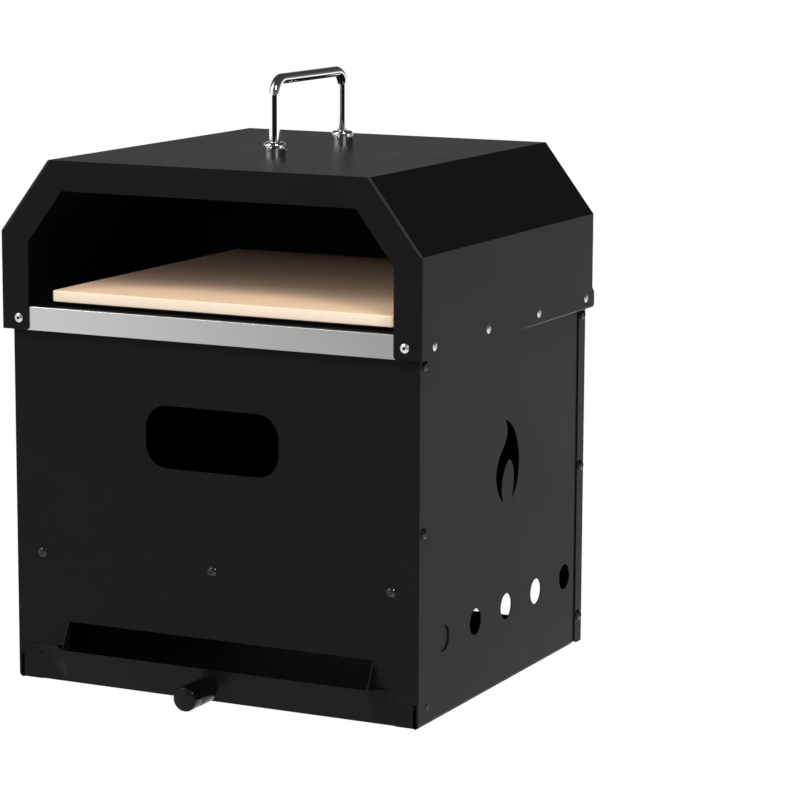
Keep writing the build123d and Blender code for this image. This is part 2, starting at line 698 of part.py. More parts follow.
# Stone shelf: ring inside the skirt that carries the cooking grate and rests on the firebox's top flanges
shelf_front = hood_front + sheet + strip_sheet
shelf_back = hood_back - sheet
shelf_half = inner_half - sheet - joint_play
shelf_z = (shelf_low, shelf_top)
shelf_hole_half = shelf_half - shelf_side_band + joint_play
with BuildPart() as stone_shelf:
    block((-shelf_half, shelf_half), (shelf_front, shelf_back), shelf_z)
    wide_y = (hood_front + hood_flange + joint_play, hood_back - hood_flange - joint_play)
    block((-inner_half, inner_half), wide_y, shelf_z)
    for side in (-1, 1):
        flange_x = sorted((side * (inner_half - sheet), side * inner_half))
        block(flange_x, wide_y, (hood_low + sheet, shelf_top))
    strip_half = inner_half - sheet - strip_end_play
    block((-strip_half, strip_half), (shelf_front, shelf_front + sheet), (hood_low + sheet, shelf_top))
    lip_z = (shelf_low, shelf_top + shelf_back_lip)
    block((-shelf_half, shelf_half), (shelf_back - sheet, shelf_back), lip_z)
    hole_x = (-shelf_hole_half, shelf_hole_half)
    hole_y = (shelf_front + shelf_front_band, shelf_back - shelf_back_band)
    block(hole_x, hole_y, shelf_z, mode=Mode.SUBTRACT)
    bore(Plane.YZ, side_rivet_points[1:3], screw_bore, body_width)
    bore(facing_front(shelf_front), trim_points, screw_bore, 2 * sheet)
    bore(facing_front(shelf_back), back_rivet_points, screw_bore, 2 * sheet)
stone_shelf.part.label = "stone_shelf"
export_step(stone_shelf.part, "parts/stone_shelf.step")

# Bright strip under the mouth, clamped behind the front frame's tabs
with BuildPart() as front_trim_strip:
    block((-strip_half, strip_half), (hood_front + sheet, shelf_front), (hood_low, shelf_top))
    bore(facing_front(hood_front + sheet), trim_points, screw_bore, 2 * sheet)
    rim_edges = front_trim_strip.edges().filter_by(Axis.X).group_by(Axis.Z)[-1].group_by(Axis.Y)[0]
    fillet(rim_edges, strip_round)
front_trim_strip.part.label = "front_trim_strip"
export_step(front_trim_strip.part, "parts/front_trim_strip.step")

with BuildPart() as hood_side_rivets:
    copies(rivet(1, 2 * sheet), side_planes(hood_half, side_rivet_points))
hood_side_rivets.part.label = "hood_side_rivets"
export_step(hood_side_rivets.part, "parts/hood_side_rivets.step")

with BuildPart() as hood_back_rivets:
    copies(rivet(1, 2 * sheet), [Plane((x, hood_back, z), z_dir=(0, 1, 0)) for x, z in back_rivet_points])
hood_back_rivets.part.label = "hood_back_rivets"
export_step(hood_back_rivets.part, "parts/hood_back_rivets.step")

with BuildPart() as trim_rivets:
    trim_rivet = rivet(1, 2 * sheet + strip_sheet)
    copies(trim_rivet, [Plane((x, hood_front, z), z_dir=(0, -1, 0)) for x, z in trim_points])
trim_rivets.part.label = "trim_rivets"
export_step(trim_rivets.part, "parts/trim_rivets.step")

# Handle: bent round bar held by set screws in two turned feet, which are screwed on from under the lid
bar_axis_top = hood_top + handle_height - handle_diameter / 2
leg_low = hood_top + foot_base + foot_play
set_screw_z = hood_top + set_screw_height
with BuildPart() as handle_bar:
    with BuildLine(Plane.YZ) as bar_path:
        FilletPolyline(
            (leg_ys[0], leg_low),
            (leg_ys[0], bar_axis_top),
            (leg_ys[1], bar_axis_top),
            (leg_ys[1], leg_low),
            radius=handle_bend,
        )
    with BuildSketch(Plane((0, leg_ys[0], leg_low))):
        Circle(handle_diameter / 2)
    sweep(path=bar_path.wires()[0])
handle_bar.part.label = "handle_bar"
export_step(handle_bar.part, "parts/handle_bar.step")


def set_screw_planes(y):
    """Where a foot's two set screws lie: across the front and the right of its leg, facing out."""
    return [Plane((0, y, set_screw_z), z_dir=out) for out in ((0, -1, 0), (1, 0, 0))]


def handle_foot(y):
    """A turned foot on the lid: a socket for the leg, a tapped hole below it and two for set screws."""
    with BuildPart() as foot:
        with Locations((0, y, hood_top + foot_height / 2)):
            Cylinder(foot_diameter / 2, foot_height)
        fillet(foot.edges().group_by(Axis.Z)[-1], foot_round)
        with Locations((0, y, hood_top + foot_base + foot_height / 2)):
            Cylinder(handle_diameter / 2 + foot_play, foot_height, mode=Mode.SUBTRACT)
        bore(Plane.XY.offset(hood_top), [(0, y)], bolt_diameter / 2 + hole_play, foot_base)
        for plane in set_screw_planes(y):
            with BuildSketch(plane) as tapped:
                Circle(set_screw_diameter / 2 + hole_play)
            extrude(tapped.sketch, amount=foot_diameter, mode=Mode.SUBTRACT)
    return foot.part


with BuildPart() as handle_front_foot:
    add(handle_foot(leg_ys[0]))
handle_front_foot.part.label = "handle_front_foot"
export_step(handle_front_foot.part, "parts/handle_front_foot.step")

with BuildPart() as handle_rear_foot:
    add(handle_foot(leg_ys[1]))
handle_rear_foot.part.label = "handle_rear_foot"
export_step(handle_rear_foot.part, "parts/handle_rear_foot.step")

leg_side = handle_diameter / 2 + hole_play
with BuildPart() as set_screw:
    with Locations((0, 0, leg_side)):
        length = foot_diameter / 2 + set_screw_proud - leg_side
        Cylinder(set_screw_diameter / 2, length, align=(Align.CENTER, Align.CENTER, Align.MIN))
    fillet(set_screw.edges().group_by(Axis.Z)[-1], set_screw_proud)
    with Locations((0, 0, leg_side + length)):
        socket_depth = 2 * set_screw_socket_depth
        Cylinder(set_screw_socket / 2, socket_depth, mode=Mode.SUBTRACT)
with BuildPart() as handle_set_screws:
    copies(set_screw.part, [plane for y in leg_ys for plane in set_screw_planes(y)])
handle_set_screws.part.label = "handle_set_screws"
export_step(handle_set_screws.part, "parts/handle_set_screws.step")

washer_z = hood_top - sheet
with BuildPart() as handle_washers:
    with BuildSketch(Plane.XY.offset(washer_z)) as washers:
        with Locations(*[(0, y) for y in leg_ys]):
            Circle(washer_diameter / 2)
            Circle(bolt_diameter / 2 + hole_play, mode=Mode.SUBTRACT)
    extrude(washers.sketch, amount=-sheet)
handle_washers.part.label = "handle_washers"
export_step(handle_washers.part, "parts/handle_washers.step")

handle_screw_length = 2 * sheet + foot_base - joint_play
handle_screw = screw(screw_head_diameter, screw_head_height, bolt_diameter, handle_screw_length)
with BuildPart() as handle_screws:
    copies(handle_screw, [Plane((0, y, washer_z - sheet), z_dir=(0, 0, -1)) for y in leg_ys])
handle_screws.part.label = "handle_screws"
export_step(handle_screws.part, "parts/handle_screws.step")

# Cooking grate: bars welded into a rim of round wire, loose on the stone shelf
stone_half = inner_half - stone_side_play
stone_x = (stone_shift - stone_half, stone_shift + stone_half)
grate_x = (stone_x[0] + grate_inset, stone_x[1] - grate_inset)
grate_y = (hole_y[0] - grate_front_bearing, hole_y[1] + grate_back_bearing)
grate_z = shelf_top + rest_gap + rim_wire / 2
bar_pitch = (grate_x[1] - grate_x[0]) / (bar_count + 1)
with BuildPart() as cooking_grate:
    with BuildLine(Plane.XY.offset(grate_z)) as rim_path:
        FilletPolyline(
            (grate_x[0], grate_y[0]),
            (grate_x[1], grate_y[0]),
            (grate_x[1], grate_y[1]),
            (grate_x[0], grate_y[1]),
            close=True,
            radius=grate_corner,
        )
    with BuildSketch(Plane(rim_path.line @ 0, z_dir=rim_path.line % 0)):
        Circle(rim_wire / 2)
    sweep(path=rim_path.wires()[0])
    bar_xs = [grate_x[0] + number * bar_pitch for number in range(1, bar_count + 1)]
    with Locations(*[Plane((x, sum(grate_y) / 2, grate_z), z_dir=(0, 1, 0)) for x in bar_xs]):
        Cylinder(bar_wire / 2, grate_y[1] - grate_y[0])
cooking_grate.part.label = "cooking_grate"
export_step(cooking_grate.part, "parts/cooking_grate.step")

# Pizza stone: slab with softened edges, loose on the cooking grate
stone_low = grate_z + rim_wire / 2 + rest_gap
with BuildPart() as pizza_stone:
    stone_y = (hood_front + stone_setback, hood_back - sheet - stone_back_play)
    block(stone_x, stone_y, (stone_low, stone_low + stone_thickness))
    fillet(pizza_stone.edges().filter_by(Axis.Z), stone_corner)
    flat_faces = pizza_stone.faces().filter_by(Axis.Z)
    chamfer(flat_faces.edges(), stone_edge)
pizza_stone.part.label = "pizza_stone"
export_step(pizza_stone.part, "parts/pizza_stone.step")
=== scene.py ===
import json
from math import radians

import bmesh
import bpy
import numpy as np
from mathutils import Matrix, Vector


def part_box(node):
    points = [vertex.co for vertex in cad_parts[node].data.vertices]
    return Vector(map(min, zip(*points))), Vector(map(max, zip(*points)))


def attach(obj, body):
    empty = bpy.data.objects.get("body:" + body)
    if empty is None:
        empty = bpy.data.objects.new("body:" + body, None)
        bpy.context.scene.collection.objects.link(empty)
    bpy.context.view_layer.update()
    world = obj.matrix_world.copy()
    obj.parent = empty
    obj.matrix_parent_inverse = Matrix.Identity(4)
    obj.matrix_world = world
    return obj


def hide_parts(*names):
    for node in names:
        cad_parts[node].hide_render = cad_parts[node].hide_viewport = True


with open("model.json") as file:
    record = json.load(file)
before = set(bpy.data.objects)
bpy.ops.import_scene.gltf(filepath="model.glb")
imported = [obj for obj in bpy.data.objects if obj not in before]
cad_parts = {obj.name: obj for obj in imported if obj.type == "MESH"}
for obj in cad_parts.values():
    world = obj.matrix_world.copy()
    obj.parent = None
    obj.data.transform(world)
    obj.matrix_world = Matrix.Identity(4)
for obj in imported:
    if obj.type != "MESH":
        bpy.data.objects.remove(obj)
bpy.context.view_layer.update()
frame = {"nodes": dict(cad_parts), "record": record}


# Studio: a camera with a long lens, at the height of the eyes of someone who stands a few steps away.
# The grill fills the frame and its upright edges hardly converge.
azimuth, elevation, roll = radians(26.08), radians(9.85), radians(0.24)
toward = np.array([
    -np.sin(azimuth) * np.cos(elevation),
    np.cos(azimuth) * np.cos(elevation),
    -np.sin(elevation),
])
level = np.cross(toward, [0, 0, 1])
level /= np.linalg.norm(level)
upright = np.cross(level, toward)
right = np.cos(roll) * level + np.sin(roll) * upright
up = np.cos(roll) * upright - np.sin(roll) * level
toward_level = toward[:2] / np.linalg.norm(toward[:2])
camera = bpy.data.objects.new("camera", bpy.data.cameras.new("camera"))
camera.data.sensor_width = 36
camera.data.lens = 143.48
camera.data.clip_end = 200
turn = Matrix(np.column_stack([right, up, -toward]).tolist()).to_4x4()
camera.matrix_world = Matrix.Translation((1.27031, -2.38966, 0.70305)) @ turn
bpy.context.scene.collection.objects.link(camera)
bpy.context.scene.camera = camera
bpy.context.scene.view_settings.view_transform = "Standard"


# Floor: a round white studio card, so brightly lit that it glows. Its edge is lost in the white behind it.
# All the nodes of this file are made by the class below, which turns arithmetic on sockets into Math nodes.
class Link:
    """An output socket of a node tree. Sums, differences, products and quotients of links add Math nodes."""

    def __init__(self, tree, socket=None):
        self.tree, self.socket = tree, socket

    def node(self, kind, settings=None, inputs=None, output=0):
        """A new node: its settings first, then the values or links of its sockets, by name or number."""
        made = self.tree.nodes.new(kind)
        for key, value in (settings or {}).items():
            setattr(made, key, value)
        for key, value in (inputs or {}).items():
            if isinstance(value, Link):
                self.tree.links.new(value.socket, made.inputs[key])
            else:
                made.inputs[key].default_value = value
        return Link(self.tree, made.outputs[output])

    def math(self, operation, *values):
        return self.node("ShaderNodeMath", {"operation": operation}, dict(enumerate(values)))

    def __add__(self, other):
        return self.math("ADD", self, other)

    def __sub__(self, other):
        return self.math("SUBTRACT", self, other)

    def __rsub__(self, other):
        return self.math("SUBTRACT", other, self)

    def __mul__(self, other):
        return self.math("MULTIPLY", self, other)

    def __truediv__(self, other):
        return self.math("DIVIDE", self, other)

    def __pow__(self, other):
        return self.math("POWER", self, other)

    __radd__, __rmul__ = __add__, __mul__

    def part(self, axis):
        """One coordinate of a place."""
        return self.node("ShaderNodeSeparateXYZ", None, {0: self}, axis)

    def stretched(self, *scales):
        """Places with each axis scaled, so that a pattern read there is drawn out along an axis."""
        return self.node("ShaderNodeVectorMath", {"operation": "MULTIPLY"}, {0: self, 1: scales})

    def noise(self, size, detail=2.0, rough=0.5):
        """Cloudy noise from 0 to 1 whose grains are about size metres across."""
        inputs = {"Vector": self, "Scale": 1 / size, "Detail": detail, "Roughness": rough}
        return self.node("ShaderNodeTexNoise", None, inputs)

    def between(self, low, high):
        """0 below low, 1 above high and a smooth step from one to the other."""
        settings = {"interpolation_type": "SMOOTHSTEP"}
        return self.node("ShaderNodeMapRange", settings, {"Value": self, "From Min": low, "From Max": high})

    def mixed(self, first, second):
        """The first colour where this link is 0 and the second where it is 1."""
        return self.node("ShaderNodeMix", {"data_type": "RGBA"}, {0: self, 6: first, 7: second}, 2)

    def bump(self, depth, under=None):
        """A normal that rises depth metres where this link goes from 0 to 1, over another normal."""
        inputs = {"Height": self, "Distance": depth}
        if under:
            inputs["Normal"] = under
        return self.node("ShaderNodeBump", None, inputs)


def finish(name, pattern, **fixed):
    """A material. pattern turns places on the piece into what varies over it, and fixed are the other sockets."""
    made = bpy.data.materials.new(name)
    made.use_nodes = True
    surface = made.node_tree.nodes["Principled BSDF"]
    for key, value in fixed.items():
        surface.inputs[key.replace("_", " ")].default_value = value
    places = Link(made.node_tree).node("ShaderNodeTexCoord", None, None, "Object")
    for key, value in pattern(places).items():
        made.node_tree.links.new(value.socket, surface.inputs[key])
    return made


def closed_mesh(name, grids):
    """A mesh from grids of points, each closed round its columns; a row of equal points makes a pole."""
    places, faces, start = [], [], 0
    for grid in grids:
        rows, columns = grid.shape[:2]
        index = start + np.arange(rows * columns).reshape(rows, columns)
        beside = np.roll(index, -1, axis=1)
        faces.append(np.stack([index[:-1], beside[:-1], beside[1:], index[1:]], axis=-1).reshape(-1, 4))
        places.append(grid.reshape(-1, 3))
        start += rows * columns
    mesh = bpy.data.meshes.new(name)
    mesh.from_pydata(np.concatenate(places).tolist(), [], np.concatenate(faces).tolist())
    shape = bmesh.new()
    shape.from_mesh(mesh)
    bmesh.ops.remove_doubles(shape, verts=shape.verts, dist=1e-7)
    bmesh.ops.recalc_face_normals(shape, faces=shape.faces)
    shape.to_mesh(mesh)
    shape.free()
    return mesh


def turned(profile, centre, axis, across, segments=64):
    """A turned form: each (distance along the axis, radius) of the profile is a circle about the axis. Its points
    are the centre, plus the distance along the axis, plus the radius times the cosine of an angle across the axis
    and the sine of that angle along the third direction."""
    profile, centre, axis, across = (np.array(value, float) for value in (profile, centre, axis, across))
    angle = np.linspace(0, 2 * np.pi, segments, endpoint=False)[None, :, None]
    circle = np.cos(angle) * across + np.sin(angle) * np.cross(axis, across)
    return centre + profile[:, :1, None] * axis + profile[:, 1:, None] * circle


def card(places):
    mottle = places.noise(0.9, 3)
    return {"Base Color": mottle.mixed((0.09, 0.09, 0.09, 1), (0.12, 0.12, 0.12, 1))}


floor_drop, floor_rings = 0.0003, (0, 0.4, 0.8, 1.25)
floor_disc = turned([(0, radius) for radius in floor_rings], (0, 0, -floor_drop), (0, 0, 1), (1, 0, 0), 96)
floor_mesh = closed_mesh("floor", [floor_disc])
floor_mesh.materials.append(finish(
    "studio_card", card, Roughness=0.9, Specular_IOR_Level=0.0,
    Emission_Color=(1, 1, 1, 1), Emission_Strength=0.96,
))
floor = bpy.data.objects.new("floor", floor_mesh)
bpy.context.scene.collection.objects.link(floor)

# Light: a white wall glows below the horizon, but for a dark opening behind the camera. The room above is dim, apart
# from a bright screen at the front left. A tall soft box in front lights the stone through the mouth, and two high
# ones glint on the fasteners.
world = bpy.data.worlds.new("surroundings")
world.use_nodes = True
bpy.context.scene.world = world
sky = Link(world.node_tree)
direction = sky.node("ShaderNodeTexCoord", None, None, "Generated")
sideways, backwards, skyward = direction.part(0), direction.part(1), direction.part(2)
to_camera = sideways * -toward_level[0] - backwards * toward_level[1]
opening = (to_camera / (1 - skyward * skyward) ** 0.5).between(0.54, 0.66)
left_side = sideways.between(0.15, -0.20) * 0.8 + 0.2
dim_room = (skyward.between(0.45, 0.10) * left_side).mixed((0.045, 0.045, 0.046, 1), (0.45, 0.45, 0.455, 1))
screen = backwards.between(-0.10, -0.40) * sideways.between(-0.10, -0.45) * skyward.between(0.97, 0.70)
room = screen.mixed(dim_room, (1.1, 1.1, 1.1, 1))
wall = opening.mixed((1.2, 1.09, 1.21, 1), (0.008, 0.008, 0.008, 1))
low_room = skyward.between(-0.28, -0.20).mixed((0.08, 0.075, 0.08, 1), wall)
around = skyward.between(0.01, -0.06).mixed(room, low_room)
seen = sky.node("ShaderNodeLightPath", None, None, "Is Camera Ray")
background = world.node_tree.nodes["Background"]
world.node_tree.links.new(seen.mixed(around, (1, 1, 1, 1)).socket, background.inputs["Color"])


def soft_box(name, place, aim, width, depth, power, mirrored):
    """A rectangular area light at a place, turned towards a point, which glossy surfaces mirror or don't."""
    lamp = bpy.data.lights.new(name, "AREA")
    lamp.shape, lamp.size, lamp.size_y, lamp.energy = "RECTANGLE", width, depth, power
    holder = bpy.data.objects.new(name, lamp)
    holder.location = place
    holder.rotation_euler = (Vector(aim) - Vector(place)).to_track_quat("-Z", "Y").to_euler()
    holder.visible_camera, holder.visible_glossy = False, mirrored
    bpy.context.scene.collection.objects.link(holder)


mouth_middle, hood_middle = (0, -0.1, 0.33), (0, 0, 0.33)
soft_box("front_box", (0.30, -2.10, 1.50), mouth_middle, 1.0, 2.2, 54, False)
soft_box("high_left_box", (-1.60, -1.90, 2.00), hood_middle, 0.7, 0.7, 18, True)
soft_box("high_right_box", (1.90, -1.60, 2.00), hood_middle, 0.8, 0.8, 45, True)


# Firebox panels: mild steel sheet, cut, folded and sprayed with satin black heat-proof paint.
# The sheet keeps slight waves from the folding, and the paint has a fine orange peel and a little dust.
def paint(places):
    waves = places.noise(0.11, 1)
    peel = places.noise(0.0014, 2)
    cloud = places.noise(0.05, 4, 0.6)
    dust = places.noise(0.0022, 3, 0.7).between(0.69, 0.78)
    colour = (cloud * 0.6 + dust * 0.6).mixed((0.0036, 0.0032, 0.0035, 1), (0.0060, 0.0055, 0.0058, 1))
    return {
        "Base Color": colour,
        "Roughness": 0.34 + cloud * 0.08 + dust * 0.1,
        "Normal": peel.bump(0.000012, waves.bump(0.0004)),
    }


black_enamel = finish("black_enamel", paint, IOR=1.5, Specular_IOR_Level=0.07)
node_body = {node: body for body, nodes in frame["record"]["behaviour"]["bodies"].items() for node in nodes}


def placed(name, mesh, node, material, sharp=32):
    """A piece from a finished mesh that stands for a node: shaded smooth up to an angle, and riding on its body."""
    mesh.materials.clear()
    mesh.materials.append(material)
    mesh.shade_smooth()
    mesh.set_sharp_from_angle(angle=radians(sharp))
    piece = bpy.data.objects.new(name, mesh)
    bpy.context.scene.collection.objects.link(piece)
    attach(piece, node_body[node])
    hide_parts(node)
    return piece


def broken_edges(node, material, radius=0.0003, sharp=32):
    """The node's own shape with its facets joined and its sharp edges broken by a small round."""
    shape = bmesh.new()
    shape.from_mesh(frame["nodes"][node].data)
    bmesh.ops.remove_doubles(shape, verts=shape.verts, dist=2e-6)
    bmesh.ops.dissolve_limit(shape, angle_limit=0.002, verts=shape.verts, edges=shape.edges)
    mesh = bpy.data.meshes.new(node + "_sheet")
    shape.to_mesh(mesh)
    shape.free()
    piece = placed(node + "_sheet", mesh, node, material, sharp)
    bevel = piece.modifiers.new("broken edges", "BEVEL")
    bevel.width, bevel.segments, bevel.limit_method = radius, 2, "ANGLE"
    bevel.angle_limit = radians(40)
    bevel.harden_normals = True
    return piece


for panel in ("body_front_panel", "body_left_panel", "body_right_panel", "body_back_panel"):
    broken_edges(panel, black_enamel)

# Grate rails: two folded strips of the same sheet, screwed on behind the front and the back panel.
# They stand in the heat of the firebox, which has dulled their paint.


def dulled(places):
    ash = places.noise(0.012, 4, 0.65)
    return {
        "Base Color": ash.mixed((0.004, 0.004, 0.004, 1), (0.016, 0.015, 0.014, 1)),
        "Roughness": 0.6 + ash * 0.25,
        "Normal": places.noise(0.0009, 3).bump(0.00003),
    }


dulled_enamel = finish("dulled_enamel", dulled, Specular_IOR_Level=0.3)
for rail in ("front_grate_rail", "back_grate_rail"):
    broken_edges(rail, dulled_enamel, 0.0002)

# Charcoal grate: a plate of the same sheet, with rows of slots for the ash to fall through.
# It lies loose on the rails, where the heat has dulled its paint as well.
broken_edges("charcoal_grate", dulled_enamel, 0.0002)

# Fasteners of the firebox: black oxide dome screws with a crossed recess, zinc plated nuts behind them.
# The lower corners are held by small black blind rivets.


def oxide(places):
    grain = places.noise(0.0006, 3)
    return {
        "Base Color": grain.mixed((0.004, 0.004, 0.004, 1), (0.010, 0.010, 0.010, 1)),
        "Roughness": 0.10 + grain * 0.05,
        "Normal": grain.bump(0.000002),
    }


def plating(places):
    bloom = places.noise(0.003, 4, 0.6)
    return {
        "Base Color": bloom.mixed((0.62, 0.62, 0.61, 1), (0.80, 0.80, 0.78, 1)),
        "Roughness": 0.22 + bloom * 0.2,
        "Normal": places.noise(0.0005, 2).bump(0.000005),
    }


black_oxide = finish("black_oxide", oxide, Specular_IOR_Level=0.3, Coat_Weight=0.4, Coat_Roughness=0.08)
zinc = finish("zinc_plate", plating, Metallic=1.0)
for group, material in {
    "front_rail_screws": black_oxide, "front_rail_nuts": zinc,
    "back_rail_screws": black_oxide, "back_rail_nuts": zinc,
    "front_corner_screws": black_oxide, "front_corner_nuts": zinc,
    "back_corner_screws": black_oxide, "back_corner_nuts": zinc,
    "lower_corner_rivets": black_oxide,
}.items():
    broken_edges(group, material, 0.00015)

# Ash tray: a shallow folded pan that slides on the side panels' bottom folds, riveted to its front plate.
# The plate leans out in the middle as a scoop for air, and paint covers its rivets.
broken_edges("ash_tray_pan", dulled_enamel, 0.0002)
broken_edges("ash_tray_front", black_enamel, 0.0002)
broken_edges("tray_front_rivets", black_enamel, 0.0001)
broken_edges("tray_knob_bolt", zinc, 0.0001)


# Knob: turned from black heat-proof plastic, held by a bolt from inside the tray.
# Its end is a flat dome with a rounded rim and its neck stands on the leaning plate.
def moulded(places):
    grain = places.noise(0.0008, 3)
    return {
        "Base Color": places.noise(0.02, 2).mixed((0.0018, 0.0018, 0.002, 1), (0.0035, 0.0035, 0.004, 1)),
        "Roughness": 0.14 + grain * 0.05,
        "Normal": grain.bump(0.00001),
    }


def arc(centre, radius, start, end, steps):
    """Points of a profile on a circle: radius times the cosine and sine of angles between two in degrees."""
    angle = np.radians(np.linspace(start, end, steps))
    return np.stack([centre[0] + radius * np.cos(angle), centre[1] + radius * np.sin(angle)], axis=-1)


knob_low, knob_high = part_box("tray_knob")
knob_radius = (knob_high.x - knob_low.x) / 2
knob_axis = Vector(((knob_low.x + knob_high.x) / 2, knob_low.y, (knob_low.z + knob_high.z) / 2))
plate_low, plate_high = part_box("ash_tray_front")
# The tray's plate behind the knob, then the knob's own sizes: along its axis they are counted from its end
plate_sheet, plate_tall, plate_gap = 0.001, 0.030, 0.001
dome, rim_round, grip, grip_round = 0.0014, 0.0020, 0.0374, 0.001
neck, neck_fillet, neck_start, neck_end = 0.0065, 0.0022, 0.0377, 0.0500
groove, groove_half, groove_depth = 0.0135, 0.0015, 0.0003
bulge = (knob_radius - rim_round) ** 2 / (2 * dome)
rise = np.linspace(0, knob_radius - rim_round, 10)
knob_profile = np.concatenate([
    np.stack([rise ** 2 / (2 * bulge), rise], axis=-1),
    arc((dome + rim_round, knob_radius - rim_round), rim_round, 170, 90, 8),
    [(groove - groove_half, knob_radius), (groove, knob_radius - groove_depth), (groove + groove_half, knob_radius)],
    [(grip - grip_round, knob_radius)],
    arc((grip - grip_round, knob_radius - grip_round), grip_round, 80, 10, 5),
    arc((neck_start + neck_fillet, neck + neck_fillet), neck_fillet, 180, 270, 6),
    [(neck_end, neck), (neck_end, 0)],
])
knob = turned(knob_profile, knob_axis, (0, 1, 0), (1, 0, 0))
lean = (plate_high.y - plate_sheet - plate_low.y) / plate_tall
knob[-2:, :, 1] = plate_high.y - plate_sheet / 2 - lean * (knob[-2:, :, 2] - plate_gap)
black_plastic = finish("black_plastic", moulded, Specular_IOR_Level=0.14)
placed("knob_grip", closed_mesh("knob_grip", [knob]), "tray_knob", black_plastic)

# Oven hood: one sheet folded four times makes its sides, shoulders and lid; the front frame, the back panel
# and the stone shelf are riveted inside it. The shell's lower edge has pale worn patches at the back, which are
# also a painted highlight, and a painted highlight runs along the frame's slanted edges.
shell_low, shell_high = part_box("hood_shell")
skirt_height, lid_half = 0.0828, 0.149
knee = shell_low.z + skirt_height
slope = np.array([shell_high.z - knee, shell_high.x - lid_half])
slope = (slope / np.linalg.norm(slope)).tolist()


def worn_and_highlit_skirt(places):
    """Paint worn off in patches along the lowest millimetre of the skirt, more so towards the back; the pale patches
    are also a painted highlight on that edge.
    """
    enamel = paint(places)
    patchy = places.noise(0.006, 3).between(0.25, 0.5)
    skirt = places.part(2).between(shell_low.z + 0.0012, shell_low.z + 0.0004) * places.part(1).between(0.02, 0.09)
    # The pale mix along the skirt's lower edge is partly wear and partly a painted highlight.
    enamel["Base Color"] = (patchy * skirt).mixed(enamel["Base Color"], (0.17, 0.165, 0.17, 1))
    return enamel


def highlit_slanted_edges(places):
    """Paint with a painted highlight, a paler band, along the frame's slanted edges. How far a place lies beyond
    such an edge is the sum of its distances from the knee, sideways and up, each times its share of the edge's
    outward direction."""
    enamel = paint(places)
    aside = places.math("ABSOLUTE", places.part(0))
    outward = (aside - shell_high.x) * slope[0] + (places.part(2) - knee) * slope[1]
    edge = outward.between(-0.0026, -0.0008) * places.part(2).between(knee - 0.001, knee + 0.001)
    # A painted highlight: the slanted edges are mixed paler.
    enamel["Base Color"] = edge.mixed(enamel["Base Color"], (0.022, 0.021, 0.022, 1))
    return enamel


worn_highlit_enamel = finish("worn_highlit_enamel", worn_and_highlit_skirt, IOR=1.5, Specular_IOR_Level=0.07)
broken_edges("hood_shell", worn_highlit_enamel)
edge_highlight_enamel = finish("edge_highlight_enamel", highlit_slanted_edges, IOR=1.5, Specular_IOR_Level=0.07)
broken_edges("hood_front_frame", edge_highlight_enamel)
for panel in ("hood_back_panel", "stone_shelf"):
    broken_edges(panel, black_enamel)


# Bright strip: stainless steel brushed along its length, clamped under the mouth by two zinc plated blind rivets.
# It carries a painted reflection, brighter towards the left, and the hole a broken stem leaves in the middle of each
# rivet is painted dark as painted shade.
def brushed(places):
    hair = places.stretched(9, 400, 2600).noise(1.0, 3, 0.6)
    stain = places.noise(0.06, 3)
    # A painted reflection: the colour runs from bright at the left to dull at the right.
    painted_sheen_gradient = places.part(0).between(-0.27, 0.27).mixed((0.645, 0.66, 0.64, 1), (0.365, 0.37, 0.36, 1))
    return {
        "Base Color": (hair * 0.15 + stain * 0.15).mixed(painted_sheen_gradient, (0.78, 0.80, 0.78, 1)),
        "Roughness": 0.27 + hair * 0.12,
        "Normal": hair.bump(0.00002),
    }


stainless = finish("brushed_stainless", brushed, Metallic=1.0)
broken_edges("front_trim_strip", stainless, 0.00025)
rivet_radius, stem_radius = 0.0040, 0.0013


def riveted(group, axis, pitches, stem_and_shade_colour):
    """Zinc for a row of rivets along an axis. The distance from the nearest rivet's own axis is the root of the
    sum of two squares: across to the nearest of the evenly spaced rivets, and up or down to the row."""
    low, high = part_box(group)
    first, row = low[axis] + rivet_radius, (low.z + high.z) / 2
    pitch = (high[axis] - rivet_radius - first) / pitches

    def pattern(places):
        metal = plating(places)
        across = places.math("PINGPONG", places.part(axis) - first, pitch / 2)
        rise = places.part(2) - row
        stem = ((across * across + rise * rise) ** 0.5).between(stem_radius + 0.0002, stem_radius)
        return {
            # The stem hole is painted in the given colour; the black of the trim rivets is painted shade in the
            # hole.
            "Base Color": stem.mixed(metal["Base Color"], stem_and_shade_colour),
            "Roughness": metal["Roughness"] + stem * 0.4,
            "Metallic": 1 - stem,
            "Normal": metal["Normal"],
        }

    return finish(group + "_zinc", pattern)


black_stem_shade, grey_stem = (0.010, 0.010, 0.010, 1), (0.45, 0.45, 0.45, 1)
for group, axis, pitches, stem_and_shade_colour in (
    ("trim_rivets", 0, 1, black_stem_shade), ("hood_side_rivets", 1, 3, grey_stem), ("hood_back_rivets", 0, 2, grey_stem),
):
    broken_edges(group, riveted(group, axis, pitches, stem_and_shade_colour), 0.00015)


# Handle: round steel bar, bent twice and chrome plated, held by set screws in two turned and plated feet.
# Each foot is screwed to the lid from below, over a washer.
def chrome_plate(places):
    haze = places.noise(0.02, 3)
    return {
        "Base Color": haze.mixed((0.84, 0.845, 0.855, 1), (0.90, 0.90, 0.905, 1)),
        "Roughness": 0.04 + haze * 0.05,
    }


